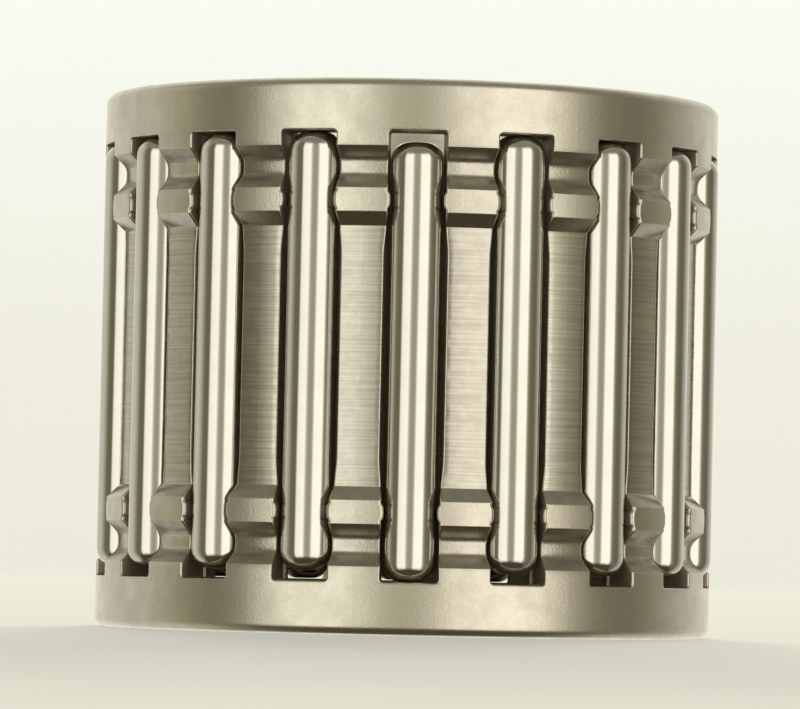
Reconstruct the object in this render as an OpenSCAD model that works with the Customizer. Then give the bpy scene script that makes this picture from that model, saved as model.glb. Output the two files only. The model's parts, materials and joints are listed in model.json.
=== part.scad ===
// Radial needle roller and cage assembly.
//
// A one-piece steel cage holds a ring of loose needle rollers. There is no inner
// or outer ring: the rollers run straight on a shaft and inside a housing bore.
// The origin is the centre of the bearing and Z is its axis. Each roller lies
// along Z, and the first one faces -Y.

/* [Bearing] */
// Diameter of the shaft that the rollers run on
shaft_d = 25; // [24:0.5:28]
// Number of needle rollers, one in each pocket
roller_count = 18; // [12:1:18]

/* [Rollers] */
// Nominal diameter of a roller
roller_d = 2.5; // [2.4:0.05:2.55]
// How far a roller is ground below its nominal diameter
roller_undersize = 0.01; // [0:0.002:0.02]
// Length of a roller
roller_l = 20.3; // [19.8:0.1:20.6]
// Radius that rounds the ends of a roller
roller_corner = 0.85; // [0.2:0.05:1.15]
// Gap left at the pocket end that a roller has slid to
roller_rest_gap = 0.03; // [0.02:0.01:0.1]
// The one roller on the front half that has slid to the lower end of its pocket
lowered_roller = 1; // [1:1:5]
// First of the rollers at the back, which all stand at the lower ends
back_first = 6; // [6:1:9]
// Last of the rollers at the back
back_last = 14; // [11:1:14]

/* [Cage] */
// Width of the cage along the axis
cage_w = 25.7; // [25.2:0.1:27]
// Radial gap between the cage and the shaft, and between the cage and the housing
cage_gap = 0.15; // [0.1:0.05:0.3]
// Width of each end rim, up to the groove beside it
rim_w = 3.15; // [2.9:0.05:3.25]
// Chamfer on the four circular edges of the end faces
rim_chamfer = 0.3; // [0.1:0.05:0.4]
// Width of the groove beside each rim
groove_w = 1.95; // [1.85:0.05:2]
// Depth of the groove
groove_depth = 0.62; // [0.5:0.02:0.66]
// Slope of the groove's sides, in degrees from the axis
groove_slope = 45; // [45:1:60]
// Radius between the groove's sides and its floor
groove_corner = 0.65; // [0.3:0.05:0.7]
// Width of the guide pads between the groove and the recess
pad_w = 1.1; // [1:0.05:1.2]
// Depth of the long recess between the two rows of pads; its ends slope at 45 degrees
recess_depth = 0.62; // [0.4:0.02:0.7]
// Depth of the relief that leaves only the two rims at the full bore
bore_relief = 0.2; // [0.1:0.05:0.3]

/* [Pockets] */
// Length of a pocket, cut into both rims
pocket_l = 20.8; // [20.7:0.05:21]
// Width of a pocket at its ends
pocket_w = 2.7; // [2.65:0.05:2.8]
// Width of a pocket at the bottom of the recess
pocket_mid_w = 2.95; // [2.9:0.05:3]
// Opening between the lips that keep a roller in
lip_gap = 2.46; // [2.42:0.01:2.46]
// Radial thickness of the lips, outside on the pads and inside along the bars
lip_t = 0.6; // [0.5:0.02:0.62]
// Radius in the corners of a pocket
pocket_corner = 0.15; // [0.13:0.01:0.3]
// Radius on the corners of the pads
pad_corner = 0.4; // [0.1:0.05:0.45]

/* [Hidden] */
$fn = 96;
// Reach of a cutter past the surface that it cuts
past = 1;
// How far the bore relief runs past the pockets
relief_over = 0.1;
// Gap between a lip and each end of its pad
lip_inset = 0.03;
// Corner of a pocket's wider middle, as a multiple of the extra width
mid_corner_ratio = 1.5;

housing_d = shaft_d + 2 * roller_d;
pitch_r = (shaft_d + roller_d) / 2;
pitch_angle = 360 / roller_count;
roller_r = (roller_d - roller_undersize) / 2;
// How far along the axis a roller slides from the middle of its pocket
roller_slide = (pocket_l - roller_l) / 2 - roller_rest_gap;

cage_in_r = shaft_d / 2 + cage_gap;
cage_out_r = housing_d / 2 - cage_gap;
// Distances from the middle of the cage along the axis
rim_z = cage_w / 2 - rim_w;
pad_out_z = rim_z - groove_w;
pad_in_z = pad_out_z - pad_w;
recess_z = pad_in_z - recess_depth;
groove_z = (rim_z + pad_out_z) / 2;
relief_z = pocket_l / 2 + relief_over;
// Radii at the bottom of the recess and at the inner faces of the two kinds of lip
recess_r = cage_out_r - recess_depth;
inner_lip_r = cage_in_r + lip_t;
outer_lip_r = cage_out_r - lip_t;
// Width of a lip's outline, which reaches into the bar, and length of a lip on a pad
lip_w = (pocket_w - lip_gap) / 2 + past;
pad_lip_l = pad_w - 2 * lip_inset;

function two_digits(n) = n < 10 ? str("0", n) : str(n);
function roller_name(n) = str("roller_", two_digits(n));

// A rectangle with rounded corners, centred
module rounded_rect(w, l, corner) {
    square([w - 2 * corner, l], center = true);
    square([w, l - 2 * corner], center = true);
    for (x = [-1, 1], y = [-1, 1])
        translate([x * (w / 2 - corner), y * (l / 2 - corner)])
            circle(r = corner);
}

// Extrudes an outline outwards from radius r0 to r1 on the -Y side; its Y becomes Z
module radial(r0, r1) {
    rotate([90, 0, 0])
        translate([0, 0, r0])
            linear_extrude(r1 - r0)
                children();
}

// Repeats its children at every pocket
module at_pocket(n) {
    rotate([0, 0, (n - 1) * pitch_angle])
        children();
}

// Outline of a groove, centred on the outside of the cage and open outwards
module groove_outline() {
    run = 1 / tan(groove_slope);
    open_w = groove_w + 2 * past * run;
    floor_w = groove_w - 2 * groove_depth * run;
    flat_w = floor_w - 2 * groove_corner * tan(groove_slope / 2);
    round_w = flat_w + 2 * groove_corner * sin(groove_slope);
    round_x = -groove_depth + groove_corner * (1 - cos(groove_slope));
    polygon([
        [past, -open_w / 2],
        [past, open_w / 2],
        [round_x, round_w / 2],
        [-groove_depth, flat_w / 2],
        [-groove_depth, -flat_w / 2],
        [round_x, -round_w / 2]
    ]);
    for (side = [-1, 1])
        translate([groove_corner - groove_depth, side * flat_w / 2])
            circle(r = groove_corner);
}

// Half section of the cage ring, before the pockets are cut
module cage_section() {
    difference() {
        polygon([
            [cage_in_r + rim_chamfer, -cage_w / 2],
            [cage_out_r - rim_chamfer, -cage_w / 2],
            [cage_out_r, -cage_w / 2 + rim_chamfer],
            [cage_out_r, cage_w / 2 - rim_chamfer],
            [cage_out_r - rim_chamfer, cage_w / 2],
            [cage_in_r + rim_chamfer, cage_w / 2],
            [cage_in_r, cage_w / 2 - rim_chamfer],
            [cage_in_r, -cage_w / 2 + rim_chamfer]
        ]);
        for (side = [-1, 1])
            translate([cage_out_r, side * groove_z])
                groove_outline();
        polygon([
            [recess_r, -recess_z],
            [recess_r + recess_depth + past, -recess_z - recess_depth - past],
            [recess_r + recess_depth + past, recess_z + recess_depth + past],
            [recess_r, recess_z]
        ]);
        polygon([
            [cage_in_r + bore_relief, -relief_z],
            [cage_in_r + bore_relief, relief_z],
            [cage_in_r - past, relief_z + bore_relief + past],
            [cage_in_r - past, -relief_z - bore_relief - past]
        ]);
    }
}

// The lips on the pads that stop a roller falling outwards
module outer_lips() {
    radial(outer_lip_r, cage_out_r + past)
        for (x = [-1, 1], z = [-1, 1])
            translate([x * (lip_gap + lip_w) / 2, z * (pad_in_z + pad_out_z) / 2])
                rounded_rect(lip_w, pad_lip_l, pad_corner);
}

// The lips along the whole pocket that stop a roller falling inwards
module inner_lips() {
    radial(cage_in_r - past, inner_lip_r)
        for (x = [-1, 1])
            translate([x * (lip_gap + lip_w) / 2, 0])
                square([lip_w, pocket_l + past], center = true);
}

// The wider middle of a pocket, whose sides open outwards
module pocket_middle() {
    extra_w = pocket_mid_w - pocket_w;
    flare = extra_w / 2 / (recess_r - inner_lip_r);
    reach_r = cage_out_r + past;
    reach_w = pocket_w + 2 * flare * (reach_r - inner_lip_r);
    intersection() {
        radial(inner_lip_r, reach_r)
            rounded_rect(pocket_mid_w, recess_z + pad_in_z, mid_corner_ratio * extra_w);
        linear_extrude(2 * pad_in_z, center = true)
            polygon([
                [-pocket_w / 2, -inner_lip_r],
                [pocket_w / 2, -inner_lip_r],
                [reach_w / 2, -reach_r],
                [-reach_w / 2, -reach_r]
            ]);
    }
}

// The space that one pocket takes out of the ring
module pocket() {
    difference() {
        radial(cage_in_r - past, cage_out_r + past)
            rounded_rect(pocket_w, pocket_l, pocket_corner);
        outer_lips();
        inner_lips();
    }
    pocket_middle();
}

// One-piece ring with a pocket for each roller
module cage() {
    color([0.60, 0.57, 0.50])
        difference() {
            rotate_extrude()
                cage_section();
            for (n = [1:roller_count])
                at_pocket(n)
                    pocket();
        }
}

// Half section of a roller, with round-cornered ends
module roller_section() {
    intersection() {
        rounded_rect(2 * roller_r, roller_l, roller_corner);
        translate([0, -roller_l])
            square([2 * roller_r, 2 * roller_l]);
    }
}

// True if a roller stands at the lower end of its pocket
function is_low(n) = n == lowered_roller || (n >= back_first && n <= back_last);

// One needle roller in its pocket
module roller(n) {
    slide = is_low(n) ? -roller_slide : roller_slide;
    color([0.83, 0.83, 0.80])
        at_pocket(n)
            translate([0, -pitch_r, slide])
                rotate_extrude()
                    roller_section();
}

cage();
for (n = [1:roller_count]) {
    roller(n);
}
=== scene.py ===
import json
import math

import bmesh
import bpy
from mathutils import Matrix, Vector, noise


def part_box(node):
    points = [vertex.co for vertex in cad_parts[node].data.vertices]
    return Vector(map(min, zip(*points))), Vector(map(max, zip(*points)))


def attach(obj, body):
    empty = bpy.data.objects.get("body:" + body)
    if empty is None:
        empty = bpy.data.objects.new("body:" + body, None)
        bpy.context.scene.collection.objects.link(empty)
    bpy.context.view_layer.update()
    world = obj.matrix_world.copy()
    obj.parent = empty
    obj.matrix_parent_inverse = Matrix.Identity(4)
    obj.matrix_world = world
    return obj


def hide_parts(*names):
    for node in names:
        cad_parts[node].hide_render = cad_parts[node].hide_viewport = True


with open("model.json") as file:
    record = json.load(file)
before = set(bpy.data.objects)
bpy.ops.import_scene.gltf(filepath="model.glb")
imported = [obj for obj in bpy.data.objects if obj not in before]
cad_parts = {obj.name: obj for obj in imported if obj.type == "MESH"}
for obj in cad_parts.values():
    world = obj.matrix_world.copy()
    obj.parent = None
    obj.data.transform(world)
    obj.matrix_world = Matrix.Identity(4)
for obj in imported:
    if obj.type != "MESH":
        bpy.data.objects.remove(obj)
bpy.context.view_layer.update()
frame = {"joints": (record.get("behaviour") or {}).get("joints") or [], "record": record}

MM = 0.001

# ---------------------------------------------------------------- dimensions
# Lengths are in millimetres. The overall ones come from the frame.
cage_low, cage_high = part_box("cage")
CAGE_R = cage_high.x / MM
CAGE_HALF_W = cage_high.z / MM
BORE_R = next(m for m in frame["record"]["mounts"] if m["name"] == "cage_bore")["dims"]["r_mm"]
ROLLER_COUNT = len(frame["joints"])
HALF_PITCH = math.pi / ROLLER_COUNT

# Cage profile along the axis
RIM_CHAMFER = 0.3
RIM_W = 3.15
GROOVE_W = 1.95
GROOVE_DEPTH = 0.62
GROOVE_SLOPE = math.radians(45)
GROOVE_CORNER = 0.65
PAD_W = 1.1
RECESS_DEPTH = 0.62
BORE_RELIEF = 0.2
RIM_Z = CAGE_HALF_W - RIM_W
PAD_OUT_Z = RIM_Z - GROOVE_W
PAD_IN_Z = PAD_OUT_Z - PAD_W
PAD_Z = (PAD_IN_Z + PAD_OUT_Z) / 2
RECESS_Z = PAD_IN_Z - RECESS_DEPTH
RECESS_R = CAGE_R - RECESS_DEPTH
TOP_Z = CAGE_HALF_W - RIM_CHAMFER
GROOVE_Z = (PAD_OUT_Z + RIM_Z) / 2
GROOVE_FLOOR_HALF_W = GROOVE_W / 2 - GROOVE_DEPTH / math.tan(GROOVE_SLOPE)
RECESS_ROUND = 0.12
PAD_ROUND = 0.08
RIM_EDGE_ROUND = 0.05
END_ROUND = 0.42

# Pockets
POCKET_HALF_L = 10.4
POCKET_HALF_W = 1.35
POCKET_MID_HALF_W = 1.475
POCKET_CORNER = 0.15
LIP_HALF_GAP = 1.23
LIP_T = 0.6
LIP_CORNER = 0.4
PAD_LIP_HALF_L = 0.52
INNER_LIP_R = BORE_R + LIP_T
OUTER_LIP_R = CAGE_R - LIP_T
EDGE_ROUND = 0.09
RECESS_EDGE_ROUND = 0.06
PAD_EDGE_ROUND = 0.17
# Distances from the middle of a pad between which its edge rounding fades out
PAD_EDGE_FADE = (0.4, 0.65)
# Length before the end of the recess over which its edge rounding fades out
RECESS_EDGE_FADE = 0.3
# Heights between which the wider middle of a pocket narrows
FLARE_FADE = (4.6, 6.5)

# Rollers
ROLLER_CORNER = 0.85
DISH_R = 0.3
DISH_DEPTH = 0.05
# A point on the dish's curve, as shares of its radius and its depth
DISH_MID_R, DISH_MID_DEPTH = 0.6, 0.8
ROLLER_SEGMENTS = 96
ROLLER_CORNER_STEPS = 12

# The mesh keeps an even margin round each pocket, and the bore relief ends just past it
MARGIN = 0.1
# Least width of the margin past a rounded edge
EDGE_CLEARANCE = 0.02
# Distance either side of a step in a pocket's wall at which its points lie
LEDGE = 0.03
RELIEF_SLOPE_END = POCKET_HALF_L + MARGIN + BORE_RELIEF

# Rows of the mesh along a pocket: their spacing in the recess and where the pocket narrows
RECESS_ROW, RECESS_ROWS = 0.16, 30
BLEND_START, BLEND_ROW, BLEND_ROWS = 4.8, 0.12, 10
PAD_ROWS = (0.0, 0.22, 0.3, 0.37, 0.43, 0.48, PAD_LIP_HALF_L)
RIM_ROW_Z = 10.0
LEAST_ROW = 0.018
# A row on the rim, this far past a pocket's margin
RIM_ROW_GAP = 0.6
# How far inside its edges a surface takes its own finish
FINISH_INSET = 0.03

# Steps of the rounded corners and across a bar
FLOOR_STEPS = 6
CORNER_STEPS = 3
FILLET_STEPS = 3
END_ROUND_STEPS = 4
POCKET_ARC_STEPS = 4
POCKET_END_STEPS = 5
OUTER_STEPS = [0.0, 0.2, 0.4, 0.6, 0.8, 1.0]

# Points of the mesh nearer than WELD are one point, and edges shorter than LEAST_EDGE are dropped
WELD, LEAST_EDGE = 0.002, 0.001
SHARP_ANGLE = math.radians(38)
NORMAL_WEIGHT = 60

# Uneven wear along the pockets' edges: its depth, where it stops short of the recess's ends and how
# far it reaches past the rounding
WEAR, WEAR_INSET, WEAR_REACH = 0.009, 0.1, 0.01
WEAR_BIAS = 0.6
WEAR_STRETCH = 3.5
WEAR_FINE_SCALE, WEAR_FINE_SHARE = 2.7, 0.5


# ---------------------------------------------------------------- mesh helpers
def arc_points(start, corner, end, radius, steps):
    """Points of the round corner of that radius between the lines start-corner and corner-end."""
    a, c, b = Vector(start), Vector(corner), Vector(end)
    u, v = (a - c).normalized(), (b - c).normalized()
    half = u.angle(v) / 2
    reach = radius / math.tan(half)
    centre = c + (u + v).normalized() * (radius / math.sin(half))
    first, last = c + u * reach - centre, c + v * reach - centre
    sweep = first.angle(last)
    points = []
    for i in range(steps + 1):
        t = i / steps
        p = (first * math.sin((1 - t) * sweep) + last * math.sin(t * sweep)) / math.sin(sweep)
        points.append(tuple(centre + p))
    return points


def outer_profile():
    """The cage's outer outline from its middle to the rim, as (z, radius) points with round corners."""
    floor_r = CAGE_R - GROOVE_DEPTH
    line = [
        ((0.0, RECESS_R), 0),
        ((RECESS_Z, RECESS_R), RECESS_ROUND),
        ((PAD_IN_Z, CAGE_R), PAD_ROUND),
        ((PAD_OUT_Z, CAGE_R), PAD_ROUND),
        ((GROOVE_Z - GROOVE_FLOOR_HALF_W, floor_r), GROOVE_CORNER),
        ((GROOVE_Z + GROOVE_FLOOR_HALF_W, floor_r), GROOVE_CORNER),
        ((RIM_Z, CAGE_R), RIM_EDGE_ROUND),
        ((TOP_Z, CAGE_R), 0),
    ]
    points = []
    for i, (p, corner) in enumerate(line):
        if corner:
            steps = FLOOR_STEPS if corner == GROOVE_CORNER else CORNER_STEPS
            points += arc_points(line[i - 1][0], p, line[i + 1][0], corner, steps)
        else:
            points.append(p)
    return points


PROFILE = outer_profile()


def outer_r(z):
    """Outer radius at height z."""
    for (z0, r0), (z1, r1) in zip(PROFILE, PROFILE[1:]):
        if z <= z1:
            return r0 + (r1 - r0) * (z - z0) / (z1 - z0)
    return CAGE_R


def smooth(t):
    """0 to 1 with flat ends."""
    t = min(max(t, 0.0), 1.0)
    return t * t * (3 - 2 * t)


def ramp(value, low, high):
    """0 to 1 with flat ends as the value goes from low to high."""
    return smooth((value - low) / (high - low))


def round_end(distance, corner):
    """How far an outline with that corner radius has drawn back at a distance into the corner."""
    d = min(max(distance, 0.0), corner)
    return corner - math.sqrt(corner ** 2 - d ** 2)


def half_width(z, r):
    """Half the width of a pocket at height z and radius r."""
    width = POCKET_HALF_W
    if r > INNER_LIP_R and z < PAD_IN_Z:
        extra = POCKET_MID_HALF_W - POCKET_HALF_W
        flare = extra * (r - INNER_LIP_R) / (RECESS_R - INNER_LIP_R)
        fade = 1.0 - ramp(z, *FLARE_FADE)
        width += min(flare, extra) * fade
    if r > OUTER_LIP_R:
        width = min(width, lip_width(abs(z - PAD_Z)))
    if r < INNER_LIP_R:
        width = LIP_HALF_GAP
    return width


def lip_width(distance):
    """Half the gap between the two lips on a pad, at a distance from their middle."""
    if distance > PAD_LIP_HALF_L:
        return POCKET_HALF_W * 2
    return LIP_HALF_GAP + round_end(distance - (PAD_LIP_HALF_L - LIP_CORNER), LIP_CORNER)


def build_mesh(name, blocks, materials):
    """A welded mesh from blocks. A block is rows of points in mm and a material index, or a function
    that gives the index from the row and the column."""
    bm = bmesh.new()
    for rows, material in blocks:
        verts = [[bm.verts.new(Vector(p)) for p in row] for row in rows]
        for i in range(len(rows) - 1):
            for k in range(len(rows[i]) - 1):
                face = bm.faces.new((verts[i][k], verts[i][k + 1], verts[i + 1][k + 1], verts[i + 1][k]))
                face.material_index = material(i, k) if callable(material) else material
                face.smooth = True
    bmesh.ops.remove_doubles(bm, verts=bm.verts, dist=WELD)
    bmesh.ops.dissolve_degenerate(bm, edges=bm.edges, dist=LEAST_EDGE)
    mesh = bpy.data.meshes.new(name)
    bm.to_mesh(mesh)
    bm.free()
    for m in materials:
        mesh.materials.append(m)
    return mesh


def add_object(name, mesh):
    made = bpy.data.objects.new(name, mesh)
    bpy.context.scene.collection.objects.link(made)
    return made


# ---------------------------------------------------------------- cage mesh
# The cage's finishes, in the order of its material slots. POCKET and FLANK hold darker steel that paints
# shade.
GROUND, TURNED, POCKET, FORMED, FLANK = range(5)


def at(x, t, r, z):
    """A point at radius r and height z. As t goes from 0 to 1, its angle runs from the plane x to the
    middle of the bar."""
    start = math.asin(x / r)
    angle = start + (HALF_PITCH - start) * t
    return (r * math.sin(angle), -r * math.cos(angle), z)


def edge_round(z):
    """Radius of a pocket's outer edge at height z."""
    on_pad = 1.0 - ramp(abs(z - PAD_Z), *PAD_EDGE_FADE)
    in_recess = 1.0 - ramp(z, RECESS_Z - RECESS_EDGE_FADE, RECESS_Z)
    extra = (PAD_EDGE_ROUND - EDGE_ROUND) * on_pad + (RECESS_EDGE_ROUND - EDGE_ROUND) * in_recess
    return EDGE_ROUND + extra


def outer_margin(edge):
    """Width of the margin beside a pocket, on the outside of the cage."""
    return max(MARGIN, edge + EDGE_CLEARANCE)


def edge_strip(place, top_r, low_r, width_at, edge=EDGE_ROUND):
    """Points from the outer surface, over the rounded edge, down a pocket's wall and over the inner edge.
    place(offset, r) gives the point at an offset and a radius, and width_at(r) the offset of the wall."""
    points = [place(width_at(top_r) + outer_margin(edge), top_r)]
    for i in range(FILLET_STEPS + 1):
        a = math.pi / 2 * i / FILLET_STEPS
        r = top_r - edge * (1 - math.cos(a))
        points.append(place(width_at(top_r) + edge * (1 - math.sin(a)), r))
    high = top_r - edge
    low = low_r + EDGE_ROUND
    levels = [min(OUTER_LIP_R + LEDGE, high - LEDGE), min(OUTER_LIP_R - LEDGE, high - 2 * LEDGE)]
    levels += [(OUTER_LIP_R + INNER_LIP_R) / 2, INNER_LIP_R + LEDGE, INNER_LIP_R - LEDGE]
    for r in levels:
        points.append(place(width_at(r), r))
    for i in range(FILLET_STEPS + 1):
        a = math.pi / 2 * i / FILLET_STEPS
        r = low - EDGE_ROUND * math.sin(a)
        points.append(place(width_at(low_r) + EDGE_ROUND * (1 - math.cos(a)), r))
    points.append(place(POCKET_HALF_W + MARGIN, low_r))
    return points


def side_rows():
    """Heights of the rows beside a pocket."""
    recess = [RECESS_ROW * i for i in range(RECESS_ROWS)]
    blend = [BLEND_START + BLEND_ROW * i for i in range(BLEND_ROWS)]
    pad = [PAD_Z + side * distance for side in (-1, 1) for distance in PAD_ROWS]
    profile = [z for z, r in PROFILE if 0 < z < TOP_Z]
    end = POCKET_HALF_L - POCKET_CORNER
    rows = []
    for z in sorted(recess + blend + pad + profile + [RIM_ROW_Z]):
        if (not rows or z - rows[-1] > LEAST_ROW) and z < end - LEAST_ROW:
            rows.append(z)
    return rows + [end]


def surface_kind(z):
    """The finish of the outer surface at height z."""
    if z < RECESS_Z - FINISH_INSET:
        return TURNED
    if z < PAD_IN_Z - FINISH_INSET or abs(z - GROOVE_Z) < GROOVE_FLOOR_HALF_W - FINISH_INSET:
        return FORMED
    # The groove sides take the darker FLANK steel, which paints shade.
    if abs(z - GROOVE_Z) < GROOVE_W / 2 - FINISH_INSET:
        return FLANK
    return GROUND


def quarter_blocks():
    """One quarter of a pocket's share of the cage: from the middle of the pocket to the middle of the
    bar, and from z = 0 up."""
    relief_r = BORE_R + BORE_RELIEF
    rows = side_rows()
    corner_x = POCKET_HALF_W - POCKET_CORNER
    corner_z = POCKET_HALF_L - POCKET_CORNER
    side = []
    for z in rows:
        def place(offset, r, z=z):
            return at(offset, 0.0, r, z)

        edge = edge_round(z)
        strip = edge_strip(place, outer_r(z), relief_r, lambda r, z=z: half_width(z, r), edge)
        wide = half_width(z, outer_r(z)) + outer_margin(edge)
        deep = POCKET_HALF_W + MARGIN
        outside = [at(wide, t, outer_r(z), z) for t in reversed(OUTER_STEPS[1:])]
        inside = [at(deep, t, relief_r, z) for t in OUTER_STEPS[1:]]
        side.append(outside + strip + inside)
    n_out = len(OUTER_STEPS) + FILLET_STEPS

    def side_kind(i, k):
        if k < n_out:
            return surface_kind((rows[i] + rows[i + 1]) / 2)
        return POCKET

    blocks = [(side, side_kind)]

    # The round corner of the pocket, out to the square corner of the margin
    arc_steps = POCKET_ARC_STEPS
    corner = []
    reach = POCKET_CORNER + MARGIN
    for j in range(arc_steps + 1):
        a = math.pi / 2 * j / arc_steps
        s = 2 * j / arc_steps
        out_x = corner_x + reach * min(1.0, 2 - s)
        out_z = corner_z + reach * min(1.0, s)

        def place(offset, r, a=a, out_x=out_x, out_z=out_z):
            d = offset - corner_x
            if d > reach - 1e-6:
                return at(out_x, 0.0, r, out_z)
            return at(corner_x + d * math.cos(a), 0.0, r, corner_z + d * math.sin(a))

        to_lip = min(POCKET_CORNER, (LIP_HALF_GAP - corner_x) / max(math.cos(a), 1e-3))

        def width_at(r, to_lip=to_lip):
            return corner_x + (to_lip if r < INNER_LIP_R else POCKET_CORNER)

        corner.append(edge_strip(place, CAGE_R, relief_r, width_at))
    blocks.append((corner, lambda i, k: GROUND if k < 1 + FILLET_STEPS else POCKET))

    # Beside the corner, as far as the middle of the bar
    half = arc_steps // 2
    out_x = POCKET_HALF_W + MARGIN
    heights = [corner_z + reach * min(1.0, 2 * j / arc_steps) for j in range(half + 1)]
    blocks.append(([[at(out_x, t, CAGE_R, z) for t in reversed(OUTER_STEPS)] for z in heights], GROUND))
    blocks.append(([[at(out_x, t, relief_r, z) for t in OUTER_STEPS] for z in heights], POCKET))

    # The end wall of the pocket
    end = []
    end_steps = POCKET_END_STEPS
    for j in range(end_steps + 1):
        x = corner_x * (1 - j / end_steps)

        def place(offset, r, x=x):
            return at(x, 0.0, r, POCKET_HALF_L - POCKET_HALF_W + offset)

        end.append(edge_strip(place, CAGE_R, relief_r, lambda r: POCKET_HALF_W))
    blocks.append((end, lambda i, k: GROUND if k < 1 + FILLET_STEPS else POCKET))

    # The rim: round its section from the pocket's outer margin to its inner one
    margin_z = POCKET_HALF_L + MARGIN
    outer_low, outer_top = (TOP_Z - 1, CAGE_R), (CAGE_HALF_W, CAGE_R - 1)
    outer_corners = (TOP_Z, CAGE_R), (CAGE_HALF_W, CAGE_R - RIM_CHAMFER)
    inner_low, inner_top = (TOP_Z - 1, BORE_R), (CAGE_HALF_W, BORE_R + 1)
    inner_corners = (CAGE_HALF_W, BORE_R + RIM_CHAMFER), (TOP_Z, BORE_R)
    section = [(margin_z, CAGE_R), (margin_z + RIM_ROW_GAP, CAGE_R), outer_low]
    section += arc_points(outer_low, outer_corners[0], outer_corners[1], END_ROUND, END_ROUND_STEPS)
    section += arc_points(outer_corners[0], outer_corners[1], outer_top, END_ROUND, END_ROUND_STEPS)
    section += [(CAGE_HALF_W, (CAGE_R + BORE_R) / 2)]
    section += arc_points(inner_top, inner_corners[0], inner_corners[1], END_ROUND, END_ROUND_STEPS)
    section += arc_points(inner_corners[0], inner_corners[1], inner_low, END_ROUND, END_ROUND_STEPS)
    section += [(RELIEF_SLOPE_END, BORE_R), (margin_z, relief_r)]
    columns = [(out_x, t) for t in reversed(OUTER_STEPS)]
    columns += [(corner_x + reach * (2 - 2 * j / arc_steps), 0.0) for j in range(half + 1, arc_steps + 1)]
    columns += [(corner_x * (1 - j / end_steps), 0.0) for j in range(1, end_steps + 1)]
    rim = [[at(x, t, r, z) for x, t in columns] for z, r in section]
    blocks.append((rim, lambda i, k: GROUND if i < len(section) - 2 else POCKET))
    return blocks


def whole_cage_blocks():
    """The quarter mirrored about the middles of the pocket and the cage, and repeated at each pocket."""
    blocks = []
    for rows, material in quarter_blocks():
        for n in range(ROLLER_COUNT):
            turn = Matrix.Rotation(2 * HALF_PITCH * n, 3, "Z")
            for sx in (1, -1):
                for sz in (1, -1):
                    scale = Vector((sx, 1, sz))
                    moved = [[turn @ (Vector(p) * scale) for p in row] for row in rows]
                    blocks.append((moved, material))
    return blocks


# ---------------------------------------------------------------- materials
# Values of a noise between which a finish goes from one end of its range to the other
SPAN = (0.36, 0.64)
WIDE_SPAN = (0.35, 0.65)
# Share of the coarser noise where two are added
COARSE_SHARE = 0.65


def new_material(name):
    mat = bpy.data.materials.new(name)
    mat.use_nodes = True
    nodes = mat.node_tree.nodes
    nodes.clear()
    out = nodes.new("ShaderNodeOutputMaterial")
    shader = nodes.new("ShaderNodeBsdfPrincipled")
    mat.node_tree.links.new(shader.outputs["BSDF"], out.inputs["Surface"])
    shader.inputs["Metallic"].default_value = 1.0
    return mat, shader


class Net:
    """Short calls for adding nodes to a material."""

    def __init__(self, mat):
        self.nodes = mat.node_tree.nodes
        self.links = mat.node_tree.links
        coord = self.nodes.new("ShaderNodeTexCoord")
        self.place = self.scaled(coord.outputs["Object"], (1 / MM, 1 / MM, 1 / MM))

    def scaled(self, vector, factors):
        """A vector times the factors. The first one turns metres into millimetres."""
        node = self.nodes.new("ShaderNodeVectorMath")
        node.operation = "MULTIPLY"
        self.links.new(vector, node.inputs[0])
        node.inputs[1].default_value = factors
        return node.outputs[0]

    def noise(self, vector, scale, detail=3.0, rough=0.55):
        node = self.nodes.new("ShaderNodeTexNoise")
        self.links.new(vector, node.inputs["Vector"])
        node.inputs["Scale"].default_value = scale
        node.inputs["Detail"].default_value = detail
        node.inputs["Roughness"].default_value = rough
        return node.outputs["Fac"]

    def ranged(self, value, span, out_low, out_high):
        """The value mapped so that the span's ends become out_low and out_high."""
        node = self.nodes.new("ShaderNodeMapRange")
        self.links.new(value, node.inputs["Value"])
        node.inputs["From Min"].default_value, node.inputs["From Max"].default_value = span
        node.inputs["To Min"].default_value = out_low
        node.inputs["To Max"].default_value = out_high
        return node.outputs["Result"]

    def math(self, kind, a, b):
        node = self.nodes.new("ShaderNodeMath")
        node.operation = kind
        for socket, value in zip(node.inputs, (a, b)):
            if isinstance(value, (int, float)):
                socket.default_value = value
            else:
                self.links.new(value, socket)
        return node.outputs[0]

    def sum(self, coarse, fine):
        """Two noises as one."""
        most = self.math("MULTIPLY", coarse, COARSE_SHARE)
        return self.math("ADD", most, self.math("MULTIPLY", fine, 1 - COARSE_SHARE))

    def mix(self, fac, a, b):
        node = self.nodes.new("ShaderNodeMix")
        node.data_type = "RGBA"
        self.links.new(fac, node.inputs["Factor"])
        node.inputs["A"].default_value = (*a, 1.0)
        node.inputs["B"].default_value = (*b, 1.0)
        return node.outputs["Result"]

    def bump(self, height, strength, distance):
        node = self.nodes.new("ShaderNodeBump")
        node.inputs["Strength"].default_value = strength
        node.inputs["Distance"].default_value = distance
        self.links.new(height, node.inputs["Height"])
        return node.outputs["Normal"]


def ground_steel():
    """Tumbled steel of the rims and pads: satin, faintly mottled."""
    mat, shader = new_material("tumbled_steel")
    net = Net(mat)
    mottle = net.noise(net.place, scale=0.9, detail=4.0, rough=0.6)
    fine = net.noise(net.place, scale=9.0, detail=3.0, rough=0.6)
    both = net.sum(mottle, fine)
    tone = net.ranged(both, SPAN, 0.0, 1.0)
    net.links.new(net.mix(tone, (0.555, 0.525, 0.445), (0.65, 0.615, 0.525)), shader.inputs["Base Color"])
    net.links.new(net.ranged(both, SPAN, 0.33, 0.25), shader.inputs["Roughness"])
    net.links.new(net.bump(fine, strength=0.3, distance=0.00002), shader.inputs["Normal"])
    return mat


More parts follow.
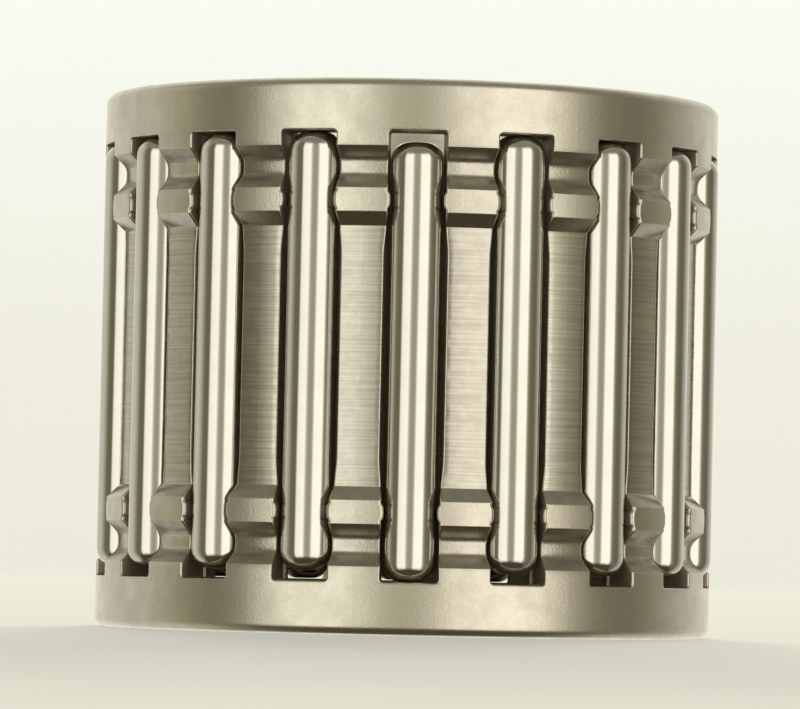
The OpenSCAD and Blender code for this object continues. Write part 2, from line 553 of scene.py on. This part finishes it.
def turned_steel():
    """Bottom of the recess: fine lines left by the turning tool, all the way round."""
    mat, shader = new_material("turned_steel")
    net = Net(mat)
    rings = net.noise(net.scaled(net.place, (0.02, 0.02, 1.0)), scale=14.0, detail=0.0, rough=0.5)
    patches = net.noise(net.place, scale=2.2, detail=3.0, rough=0.6)
    both = net.sum(rings, patches)
    tone = net.ranged(both, SPAN, 0.0, 1.0)
    net.links.new(net.mix(tone, (0.455, 0.43, 0.365), (0.56, 0.535, 0.46)), shader.inputs["Base Color"])
    net.links.new(net.ranged(patches, WIDE_SPAN, 0.22, 0.16), shader.inputs["Roughness"])
    net.links.new(net.bump(rings, strength=0.35, distance=0.000012), shader.inputs["Normal"])
    return mat


def formed_steel(name, dark, light, rough):
    """Surfaces cut by a form tool, and the groove sides, whose darker colour is painted shade. Rough is
    the least roughness.
    """
    mat, shader = new_material(name)
    net = Net(mat)
    mottle = net.noise(net.place, scale=1.4, detail=4.0, rough=0.6)
    tone = net.ranged(mottle, SPAN, 0.0, 1.0)
    net.links.new(net.mix(tone, dark, light), shader.inputs["Base Color"])
    net.links.new(net.ranged(mottle, SPAN, rough + 0.06, rough), shader.inputs["Roughness"])
    fine = net.noise(net.place, scale=7.0)
    net.links.new(net.bump(fine, strength=0.3, distance=0.00002), shader.inputs["Normal"])
    return mat


def pocket_steel():
    """Walls of the pockets and the relieved bore: darker and duller, a brown colour that is painted
    shade, with random blotches.
    """
    mat, shader = new_material("pocket_steel")
    net = Net(mat)
    pocket_blotches = net.noise(net.place, scale=1.5, detail=4.0, rough=0.65)
    tone = net.ranged(pocket_blotches, WIDE_SPAN, 0.0, 1.0)
    # Painted shade: both tones are darker and browner than the rims' steel.
    net.links.new(net.mix(tone, (0.34, 0.29, 0.215), (0.43, 0.375, 0.285)), shader.inputs["Base Color"])
    net.links.new(net.ranged(pocket_blotches, WIDE_SPAN, 0.62, 0.48), shader.inputs["Roughness"])
    net.links.new(net.bump(pocket_blotches, strength=0.3, distance=0.00003), shader.inputs["Normal"])
    return mat


def roller_steel():
    """Superfinished bearing steel: nearly a mirror."""
    mat, shader = new_material("polished_steel")
    net = Net(mat)
    film = net.noise(net.place, scale=0.7, detail=2.0, rough=0.5)
    tone = net.ranged(film, WIDE_SPAN, 0.0, 1.0)
    net.links.new(net.mix(tone, (0.625, 0.615, 0.57), (0.65, 0.64, 0.595)), shader.inputs["Base Color"])
    net.links.new(net.ranged(film, WIDE_SPAN, 0.095, 0.08), shader.inputs["Roughness"])
    return mat


# ---------------------------------------------------------------- pieces
formed = formed_steel("formed_steel", (0.48, 0.45, 0.385), (0.56, 0.53, 0.455), 0.15)
# Painted shade: the groove sides get darker steel than the groove floors, for the shade in the grooves.
flank_painted_shade = formed_steel("groove_side_steel", (0.36, 0.34, 0.285), (0.44, 0.41, 0.345), 0.26)
cage_finishes = [ground_steel(), turned_steel(), pocket_steel(), formed, flank_painted_shade]
polished = roller_steel()


def roughen_edges(mesh):
    """Small uneven wear along the pockets' edges in the recess, which breaks up their highlights."""
    for v in mesh.vertices:
        r = math.hypot(v.co.x, v.co.y)
        if r < RECESS_R - EDGE_ROUND - EDGE_CLEARANCE:
            continue
        angle = math.atan2(v.co.x, -v.co.y) % (2 * HALF_PITCH)
        x = r * math.sin(min(angle, 2 * HALF_PITCH - angle))
        z = abs(v.co.z)
        if z > RECESS_Z - WEAR_INSET:
            continue
        off = x - half_width(z, outer_r(z))
        if -WEAR_REACH < off < edge_round(z) + WEAR_REACH:
            spot = Vector((v.co.x, v.co.y, v.co.z * WEAR_STRETCH))
            wear = noise.noise(spot) + WEAR_FINE_SHARE * noise.noise(spot * WEAR_FINE_SCALE)
            v.co -= Vector((v.co.x, v.co.y, 0)).normalized() * (WEAR * (WEAR_BIAS + wear))


def make_cage():
    mesh = build_mesh("cage_body", whole_cage_blocks(), cage_finishes)
    roughen_edges(mesh)
    mesh.transform(Matrix.Scale(MM, 4))
    mesh.set_sharp_from_angle(angle=SHARP_ANGLE)
    cage = add_object("cage_body", mesh)
    weighted = cage.modifiers.new("face_normals", "WEIGHTED_NORMAL")
    weighted.keep_sharp = True
    weighted.weight = NORMAL_WEIGHT
    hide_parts("cage")
    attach(cage, "cage")


def lathe(name, profile, segments, material):
    """A turned mesh about Z from (radius, z) points. It is closed if they start and end on the axis."""
    bm = bmesh.new()
    rings = []
    for r, z in profile:
        if r < 1e-9:
            rings.append([bm.verts.new((0, 0, z))])
            continue
        ring = []
        for i in range(segments):
            a = 2 * math.pi * i / segments
            ring.append(bm.verts.new((r * math.cos(a), r * math.sin(a), z)))
        rings.append(ring)
    for low, high in zip(rings, rings[1:]):
        for i in range(segments):
            j = (i + 1) % segments
            corners = [low[i % len(low)], low[j % len(low)], high[j % len(high)], high[i % len(high)]]
            face = bm.faces.new(list(dict.fromkeys(corners)))
            face.smooth = True
    bmesh.ops.recalc_face_normals(bm, faces=bm.faces)
    mesh = bpy.data.meshes.new(name)
    bm.to_mesh(mesh)
    bm.free()
    mesh.materials.append(material)
    return mesh


def make_roller(joint):
    """One needle roller, in the place that its joint and its CAD node give."""
    node = joint["child"]
    low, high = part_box(node)
    centre = Vector((joint["pos_m"][0], joint["pos_m"][1], (low.z + high.z) / 2))
    length = high.z - low.z
    radius = min(high.x - centre.x, high.y - centre.y, centre.x - low.x, centre.y - low.y)
    corner, dish_r, dish = ROLLER_CORNER * MM, DISH_R * MM, DISH_DEPTH * MM
    dish_mid = (dish_r * DISH_MID_R, DISH_MID_DEPTH * dish - length / 2)
    half = [(0.0, dish - length / 2), dish_mid, (dish_r, -length / 2)]
    for i in range(ROLLER_CORNER_STEPS + 1):
        a = math.pi / 2 * i / ROLLER_CORNER_STEPS
        half.append((radius - corner * (1 - math.sin(a)), -length / 2 + corner * (1 - math.cos(a))))
    profile = half + [(r, -z) for r, z in reversed(half)]
    mesh = lathe(node + "_body", profile, ROLLER_SEGMENTS, polished)
    made = add_object(node + "_body", mesh)
    made.location = centre
    weighted = made.modifiers.new("face_normals", "WEIGHTED_NORMAL")
    weighted.weight = NORMAL_WEIGHT
    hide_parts(node)
    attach(made, node)


make_cage()
for roller_joint in frame["joints"]:
    make_roller(roller_joint)


# ---------------------------------------------------------------- stage
# In metres
FLOOR_R, BACKDROP_R, BACKDROP_H = 0.75, 1.2, 1.6
# Where the floor starts to glow by itself, and where the glow is full, as distances from the axis
GLOW_START, GLOW_FULL = 0.32, 0.71
# Height over which the backdrop's glow rises to its brighter level, painted light that is brighter
# towards the top
WALL_FADE_H = 0.17
FLOOR_TONE, FLOOR_GLOW = (0.12, 0.12, 0.106), (0.48, 0.475, 0.412)
WALL_LOW, WALL_HIGH = (0.84, 0.83, 0.71), (0.97, 0.985, 0.90)
BACKDROP_SEGMENTS, BACKDROP_STEPS = 96, 16
# The dark disc inside the bore: its gap to the cage and its height, in millimetres
SHADE_GAP, SHADE_H = 0.1, 0.02
SHADE_TONE = (0.05, 0.045, 0.035)
SHADE_SEGMENTS = 48


def backdrop_material(floor_z):
    """Pale and dull. Near the bearing a lamp lights it and throws the shadow; far away it glows, and the
    glow is painted light that grows brighter up the wall.
    """
    mat = bpy.data.materials.new("backdrop")
    mat.use_nodes = True
    nodes, links = mat.node_tree.nodes, mat.node_tree.links
    shader = nodes["Principled BSDF"]
    shader.inputs["Roughness"].default_value = 1.0
    shader.inputs["Specular IOR Level"].default_value = 0.0
    shader.inputs["Emission Strength"].default_value = 1.0
    coord = nodes.new("ShaderNodeTexCoord")
    split = nodes.new("ShaderNodeSeparateXYZ")
    links.new(coord.outputs["Object"], split.inputs[0])
    flat = nodes.new("ShaderNodeCombineXYZ")
    links.new(split.outputs["X"], flat.inputs["X"])
    links.new(split.outputs["Y"], flat.inputs["Y"])
    length = nodes.new("ShaderNodeVectorMath")
    length.operation = "LENGTH"
    links.new(flat.outputs[0], length.inputs[0])

    def fade(value, start, end):
        node = nodes.new("ShaderNodeMapRange")
        node.interpolation_type = "SMOOTHSTEP"
        links.new(value, node.inputs["Value"])
        node.inputs["From Min"].default_value = start
        node.inputs["From Max"].default_value = end
        return node.outputs["Result"]

    def mix(fac, a, b):
        node = nodes.new("ShaderNodeMix")
        node.data_type = "RGBA"
        links.new(fac, node.inputs["Factor"])
        for socket, value in zip((node.inputs[6], node.inputs[7]), (a, b)):
            if isinstance(value, tuple):
                socket.default_value = (*value, 1.0)
            else:
                links.new(value, socket)
        return node.outputs[2]

    far = fade(length.outputs["Value"], GLOW_START, GLOW_FULL)
    high = fade(split.outputs["Z"], floor_z, floor_z + WALL_FADE_H)
    links.new(mix(far, FLOOR_TONE, (0.0, 0.0, 0.0)), shader.inputs["Base Color"])
    # Painted light: the glow is brighter towards the top of the wall.
    glow = mix(far, FLOOR_GLOW, mix(high, WALL_LOW, WALL_HIGH))
    links.new(glow, shader.inputs["Emission Color"])
    return mat


def make_stage():
    """A pale floor that sweeps up into a wall, all the way round."""
    floor_z = cage_low.z
    bend = BACKDROP_R - FLOOR_R
    profile = [(0.0, floor_z), (FLOOR_R, floor_z)]
    for i in range(1, BACKDROP_STEPS + 1):
        a = math.pi / 2 * i / BACKDROP_STEPS
        profile.append((FLOOR_R + bend * math.sin(a), floor_z + bend * (1 - math.cos(a))))
    profile.append((BACKDROP_R, BACKDROP_H))
    stage = add_object("stage", lathe("stage", profile, BACKDROP_SEGMENTS, backdrop_material(floor_z)))
    for kind in ("visible_diffuse", "visible_glossy", "visible_shadow", "visible_transmission"):
        setattr(stage, kind, False)
    return stage


stage = make_stage()


def make_bore_shade():
    """The table inside the bore, darkened as the cage would shade it. Only reflections see it."""
    mat = bpy.data.materials.new("shaded_table")
    mat.use_nodes = True
    shader = mat.node_tree.nodes["Principled BSDF"]
    shader.inputs["Base Color"].default_value = (*SHADE_TONE, 1.0)
    shader.inputs["Roughness"].default_value = 1.0
    shader.inputs["Specular IOR Level"].default_value = 0.0
    radius = (BORE_R - SHADE_GAP) * MM
    outline = [(0.0, cage_low.z), (radius, cage_low.z), (0.0, cage_low.z + SHADE_H * MM)]
    disc = add_object("bore_shade", lathe("bore_shade", outline, SHADE_SEGMENTS, mat))
    for kind in ("visible_camera", "visible_shadow", "visible_transmission"):
        setattr(disc, kind, False)


make_bore_shade()


# ---------------------------------------------------------------- light
# The room round the bearing, level with it: (degrees to the right of the camera, brightness, tint)
LEFT_TINT, RIGHT_TINT, DIM_TINT = (1.0, 0.98, 0.87), (1.0, 0.95, 0.85), (1.0, 0.94, 0.66)
ROOM = [
    (-180, 1.25, LEFT_TINT), (-140, 0.74, LEFT_TINT), (-113, 0.72, LEFT_TINT), (-96, 0.50, DIM_TINT),
    (-82, 0.22, DIM_TINT), (-62, 0.18, DIM_TINT), (-58, 0.32, DIM_TINT), (-51, 1.36, LEFT_TINT),
    (-22, 1.52, LEFT_TINT), (-13, 0.66, LEFT_TINT), (-7, 0.50, DIM_TINT), (4, 0.47, DIM_TINT),
    (11, 0.60, RIGHT_TINT), (18.5, 1.55, RIGHT_TINT), (53, 1.58, RIGHT_TINT), (61, 0.46, DIM_TINT),
    (72, 0.22, DIM_TINT), (94, 0.18, DIM_TINT), (106, 0.34, DIM_TINT), (118, 0.52, LEFT_TINT),
    (135, 0.72, LEFT_TINT), (180, 1.25, LEFT_TINT),
]
CEILING = (0.30, 0.285, 0.225)
BELOW = (0.085, 0.072, 0.045)
# A bright part of the ceiling behind the bearing, which the round outer edges of the rims reflect
BACK_CEILING = (1.0, 0.97, 0.85)
# Angles in degrees: heights above level, and turns away from the camera's side
PANEL_TOP, PANEL_BOTTOM = 36, -32
SIDE_BOTTOM = -54
PANEL_SOFT = 11
SIDE_TURN = (60, 95)
BACK_TURN = (125, 150)
BACK_TOP = (66, 76)


def make_world():
    """Light from all round: two tall soft panels in front, a dim ceiling, a pale room behind, dark below.
    The pale table reaches the sides and the back, so there the dark starts lower."""
    world = bpy.data.worlds.new("studio")
    bpy.context.scene.world = world
    world.use_nodes = True
    nodes, links = world.node_tree.nodes, world.node_tree.links
    nodes.clear()

    def put(value, socket):
        if isinstance(value, (int, float)):
            socket.default_value = value
        elif isinstance(value, tuple):
            socket.default_value = (*value, 1.0)
        else:
            links.new(value, socket)

    def op(kind, a, b=0.0):
        node = nodes.new("ShaderNodeMath")
        node.operation = kind
        put(a, node.inputs[0])
        put(b, node.inputs[1])
        return node.outputs[0]

    def step(value, low, high):
        node = nodes.new("ShaderNodeMapRange")
        node.interpolation_type = "SMOOTHSTEP"
        put(value, node.inputs["Value"])
        node.inputs["From Min"].default_value = math.radians(low)
        node.inputs["From Max"].default_value = math.radians(high)
        return node.outputs[0]

    def blend(fac, a, b):
        node = nodes.new("ShaderNodeMix")
        node.data_type = "RGBA"
        node.clamp_factor = True
        put(fac, node.inputs["Factor"])
        put(a, node.inputs[6])
        put(b, node.inputs[7])
        return node.outputs[2]

    coord = nodes.new("ShaderNodeTexCoord")
    split = nodes.new("ShaderNodeSeparateXYZ")
    links.new(coord.outputs["Generated"], split.inputs[0])
    x, y, z = split.outputs
    turn = op("ARCTAN2", x, op("MULTIPLY", y, -1.0))
    sky = nodes.new("ShaderNodeValToRGB")
    links.new(op("ADD", op("DIVIDE", turn, 2 * math.pi), 0.5), sky.inputs["Fac"])
    marks = sky.color_ramp.elements
    while len(marks) < len(ROOM):
        marks.new(0.5)
    for mark, (angle, level, tint) in zip(marks, ROOM):
        mark.position = (angle + 180) / 360
        mark.color = tuple(level * part for part in tint) + (1.0,)
    height = op("ARCSINE", z)
    side = step(op("ABSOLUTE", turn), *SIDE_TURN)
    shifted = op("ADD", height, op("MULTIPLY", side, math.radians(PANEL_BOTTOM - SIDE_BOTTOM)))
    above = blend(step(op("ABSOLUTE", turn), *BACK_TURN), CEILING, BACK_CEILING)
    above = blend(step(height, *BACK_TOP), above, CEILING)
    top = step(height, PANEL_TOP - PANEL_SOFT, PANEL_TOP + PANEL_SOFT)
    light = blend(top, sky.outputs["Color"], above)
    depth = op("MULTIPLY", shifted, -1.0)
    low = step(depth, -PANEL_BOTTOM - PANEL_SOFT, -PANEL_BOTTOM + PANEL_SOFT)
    light = blend(low, light, BELOW)
    background = nodes.new("ShaderNodeBackground")
    links.new(light, background.inputs["Color"])
    out = nodes.new("ShaderNodeOutputWorld")
    links.new(background.outputs[0], out.inputs["Surface"])


make_world()


# The lamp's width and height in metres, its power, how far behind it stands, and its angles in degrees
LAMP_W, LAMP_H, LAMP_WATTS, LAMP_DISTANCE = 3.4, 0.8, 3500, 5.0
LAMP_TILT, LAMP_TURN = 10, 4
LAMP_TINT = (1.0, 0.985, 0.88)


def make_stage_light():
    """One broad soft lamp far behind that lights only the floor and throws the shadow forwards."""
    lamp = bpy.data.lights.new("behind", "AREA")
    lamp.shape = "RECTANGLE"
    lamp.size, lamp.size_y = LAMP_W, LAMP_H
    lamp.energy = LAMP_WATTS
    lamp.color = LAMP_TINT
    made = bpy.data.objects.new("behind", lamp)
    bpy.context.scene.collection.objects.link(made)
    tilt, turn = math.radians(LAMP_TILT), math.radians(LAMP_TURN)
    towards = Vector((math.sin(turn) * math.cos(tilt), math.cos(turn) * math.cos(tilt), math.sin(tilt)))
    made.location = towards * LAMP_DISTANCE
    made.rotation_euler = (-towards).to_track_quat("-Z", "Y").to_euler()
    made.visible_camera = False
    only = bpy.data.collections.new("stage_only")
    only.objects.link(stage)
    made.light_linking.receiver_collection = only


make_stage_light()


# ---------------------------------------------------------------- camera
# Distance from the axis and height above the bearing's middle, in millimetres
CAMERA_DISTANCE, CAMERA_HEIGHT = 273.5, -9.4
# Angles in degrees: how far round to the left it stands, and the turns that aim it
CAMERA_SIDE, CAMERA_PITCH, CAMERA_YAW, CAMERA_ROLL = 1.18, 2.097, -0.074, 1.254
FOCAL_LENGTH, SENSOR_W = 253.5, 36.0
CLIP_START, CLIP_END = 0.01, 10.0


def make_camera():
    """The camera looks at the axis: a turn by side, then the small yaw, pitch and roll."""
    side, pitch = math.radians(CAMERA_SIDE), math.radians(CAMERA_PITCH)
    yaw, roll = math.radians(CAMERA_YAW), math.radians(CAMERA_ROLL)
    data = bpy.data.cameras.new("camera")
    data.sensor_width = SENSOR_W
    data.lens = FOCAL_LENGTH
    data.clip_start = CLIP_START
    data.clip_end = CLIP_END
    camera = bpy.data.objects.new("camera", data)
    bpy.context.scene.collection.objects.link(camera)
    out = Vector((-math.sin(side), -math.cos(side), 0)) * CAMERA_DISTANCE
    spot = (out + Vector((0, 0, CAMERA_HEIGHT))) * MM
    turn = (
        Matrix.Rotation(-side - yaw, 4, "Z")
        @ Matrix.Rotation(math.pi / 2 + pitch, 4, "X")
        @ Matrix.Rotation(roll, 4, "Z")
    )
    camera.matrix_world = Matrix.Translation(spot) @ turn
    bpy.context.scene.camera = camera


make_camera()

scene = bpy.context.scene
scene.view_settings.view_transform = "Standard"
scene.view_settings.look = "None"
scene.cycles.use_denoising = True
